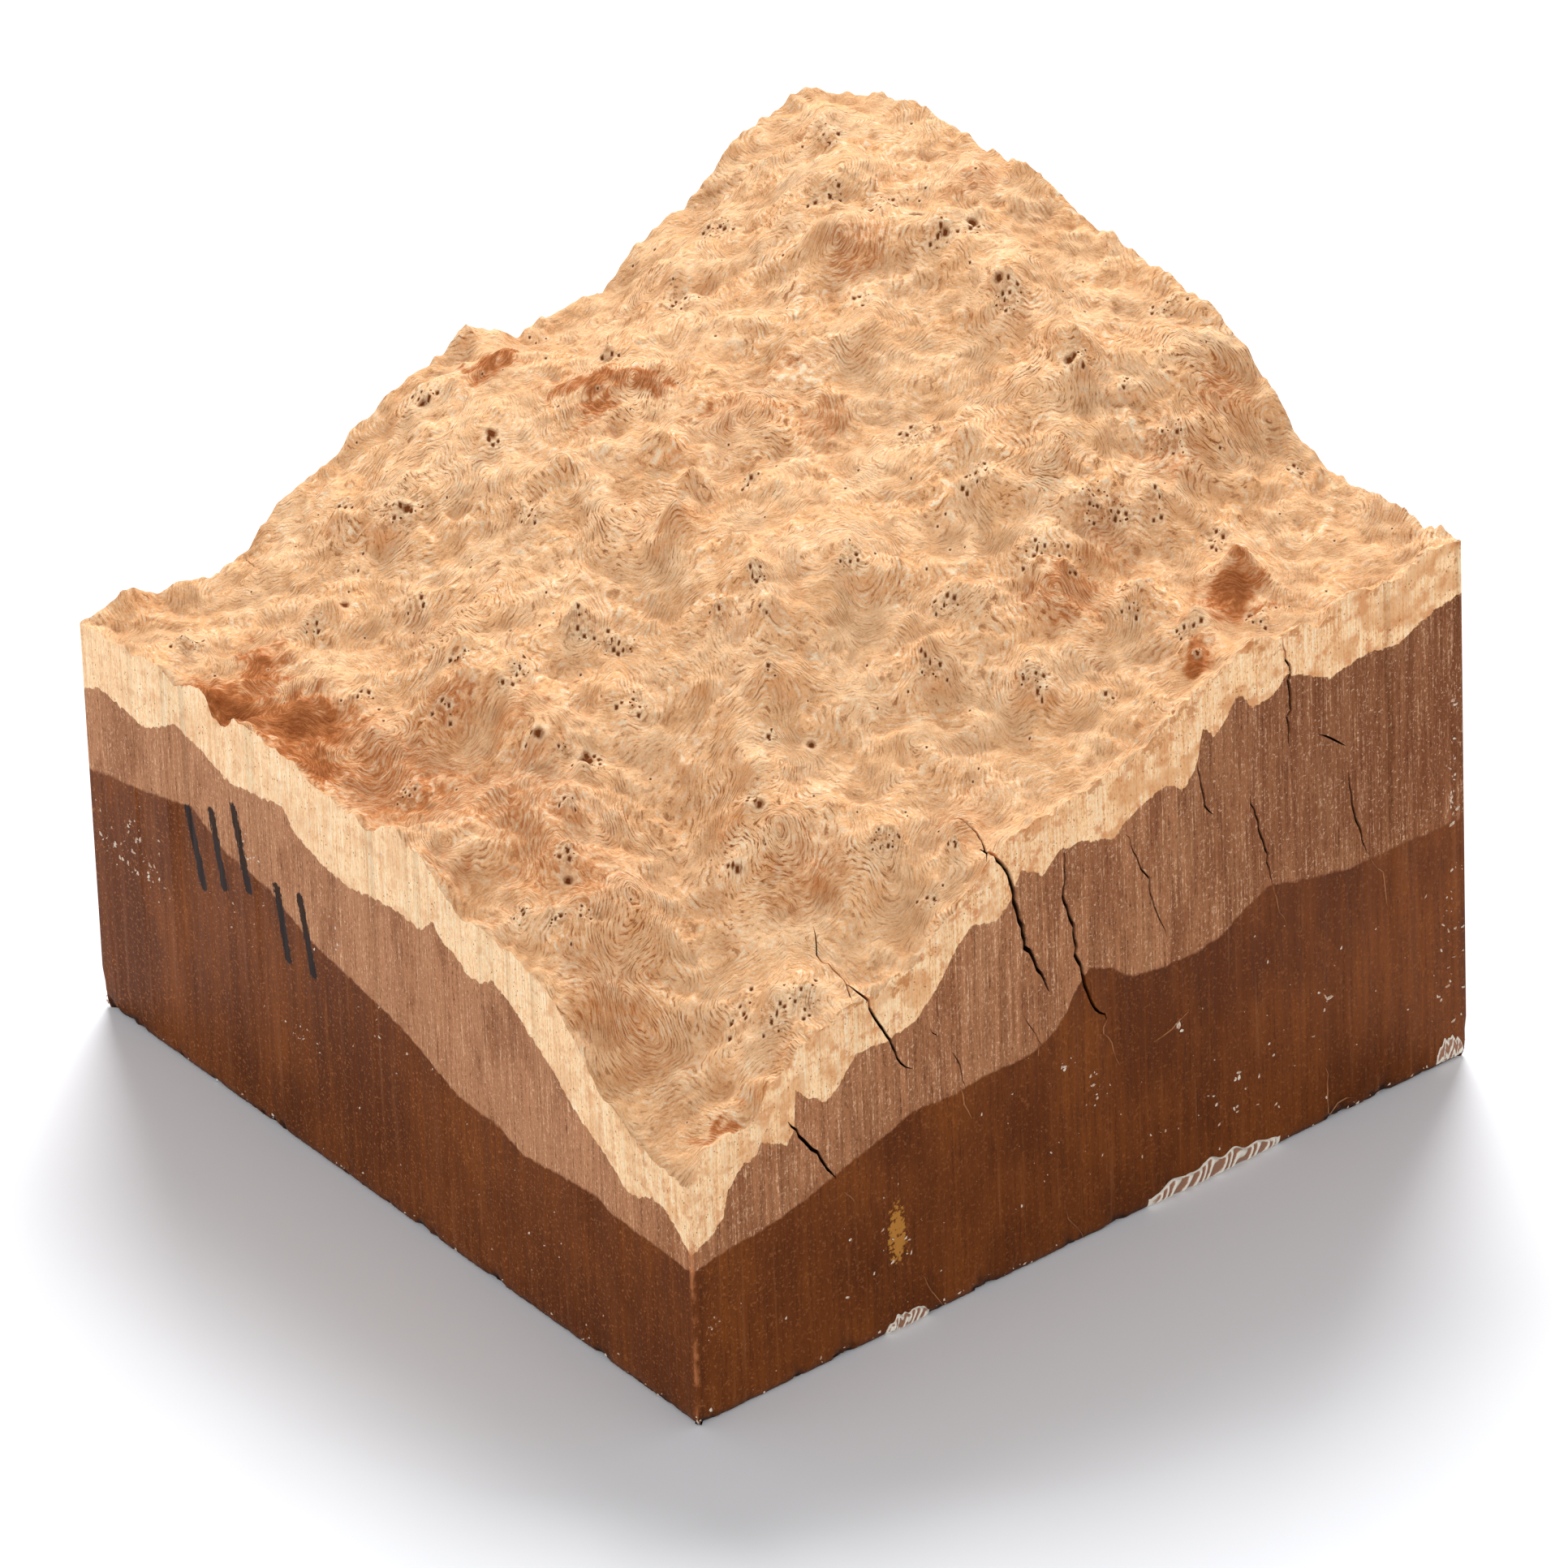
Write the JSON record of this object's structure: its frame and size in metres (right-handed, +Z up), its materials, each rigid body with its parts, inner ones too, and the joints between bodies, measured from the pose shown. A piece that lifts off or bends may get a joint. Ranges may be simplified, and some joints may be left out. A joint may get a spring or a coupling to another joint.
{
  "type": "mallee burl turning blank",
  "caption": "Square-sawn block of burl wood for turning, with the burl's natural lumpy surface kept as its sloping top, and a flat base to rest on.",
  "frame": {"origin": "middle of the flat sawn base", "axes": "+Z up; -Y is the sawn face with the drying cracks, -X the sawn face beside it; the two meet at the low near corner, and the surface climbs towards +X +Y"},
  "size_m": [0.145, 0.144, 0.11],
  "materials": {
    "burl_wood": "natural burl surface in pale peach tan, pale sapwood band below it, dry pinkish brown heartwood, satin dark red-brown where the foot was dipped in wax"
  },
  "bodies": {
    "root": {"burl_blank": "burl_wood"}
  },
  "joints": []
}
